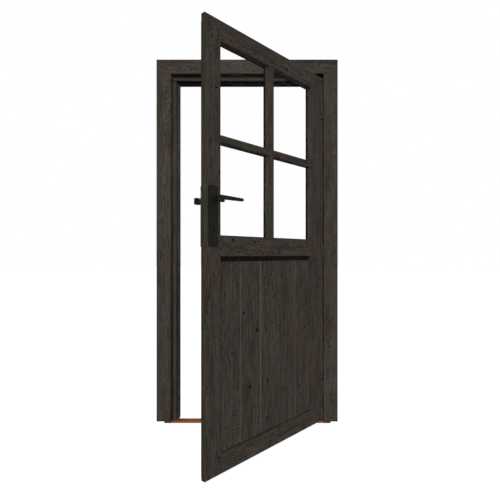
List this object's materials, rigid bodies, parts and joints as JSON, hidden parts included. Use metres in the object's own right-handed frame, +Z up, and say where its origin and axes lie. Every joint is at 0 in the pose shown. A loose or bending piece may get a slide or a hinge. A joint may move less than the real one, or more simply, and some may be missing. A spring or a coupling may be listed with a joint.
{
  "type": "half-glazed stable door with frame",
  "caption": "Outward-opening boarded and glazed stable door in its rebated timber frame, with hardwood sill, face casings, latching lever handles and a lock.",
  "frame": {"origin": "middle of the sill's underside, halfway across the frame and halfway through the sill", "axes": "+X along the wall towards the hinged side, +Y through the wall away from the casings, +Z up"},
  "size_m": [1, 0.7398, 2.0135],
  "materials": {
    "stained_wood": "dark stain, satin",
    "hardwood": "oiled",
    "glass": "clear",
    "black_metal": "matt powder coat",
    "zinc_steel": "zinc plated",
    "seal": "soft black"
  },
  "bodies": {
    "frame": {"casing_head": "stained_wood", "casing_left": "stained_wood", "casing_nails": "zinc_steel", "casing_right": "stained_wood", "frame_screws": "zinc_steel", "head_jamb": "stained_wood", "hinge_1_frame_plate": "black_metal", "hinge_1_pin": "black_metal", "hinge_2_frame_plate": "black_metal", "hinge_2_pin": "black_metal", "hinge_3_frame_plate": "black_metal", "hinge_3_pin": "black_metal", "hinge_frame_screws": "black_metal", "jamb_left": "stained_wood", "jamb_right": "stained_wood", "sill": "hardwood", "strike_plate": "black_metal", "strike_screws": "black_metal", "weather_seal": "seal"},
    "leaf": {"beads_lower_left": "stained_wood", "beads_lower_right": "stained_wood", "beads_upper_left": "stained_wood", "beads_upper_right": "stained_wood", "board_1": "stained_wood", "board_2": "stained_wood", "board_3": "stained_wood", "board_4": "stained_wood", "board_5": "stained_wood", "bottom_rail": "stained_wood", "cross_bar_left": "stained_wood", "cross_bar_right": "stained_wood", "glass_lower_left": "glass", "glass_lower_right": "glass", "glass_upper_left": "glass", "glass_upper_right": "glass", "hinge_1_leaf_plate": "black_metal", "hinge_2_leaf_plate": "black_metal", "hinge_3_leaf_plate": "black_metal", "hinge_leaf_screws": "black_metal", "hinge_stile": "stained_wood", "inner_backplate": "black_metal", "lock_case": "zinc_steel", "lock_faceplate": "zinc_steel", "lock_screws": "zinc_steel", "lock_stile": "stained_wood", "mid_rail": "stained_wood", "outer_backplate": "black_metal", "plate_bolts": "zinc_steel", "top_rail": "stained_wood", "upright_bar": "stained_wood"},
    "handle": {"outer_lever": "black_metal", "inner_lever": "black_metal", "spindle": "zinc_steel", "follower": "zinc_steel"},
    "latch": {"latch_bolt": "zinc_steel"},
    "bolt": {"dead_bolt": "zinc_steel"}
  },
  "joints": [
    {"name": "leaf_swing", "type": "hinge", "parent": "frame", "child": "leaf", "pos_m": [0.41625, -0.019, 0], "axis": [0, 0, 1], "range_deg": [-50, 60]},
    {"name": "handle_turn", "type": "hinge", "parent": "leaf", "child": "handle", "pos_m": [-0.11786, -0.59525, 1.165], "axis": [-0.766, 0.6428, 0], "range_deg": [0, 40], "stiffness_Nm_per_rad": 1.5, "springref_deg": -28.65},
    {"name": "latch_slide", "type": "slide", "parent": "leaf", "child": "latch", "axis": [0.6428, 0.766, 0], "range_m": [0, 0.0132]},
    {"name": "bolt_throw", "type": "slide", "parent": "leaf", "child": "bolt", "axis": [-0.6428, -0.766, 0], "range_m": [0, 0.02]}
  ],
  "couplings": [
    {"joint": "latch_slide", "follows": "handle_turn", "m_per_rad": 0.0189}
  ]
}
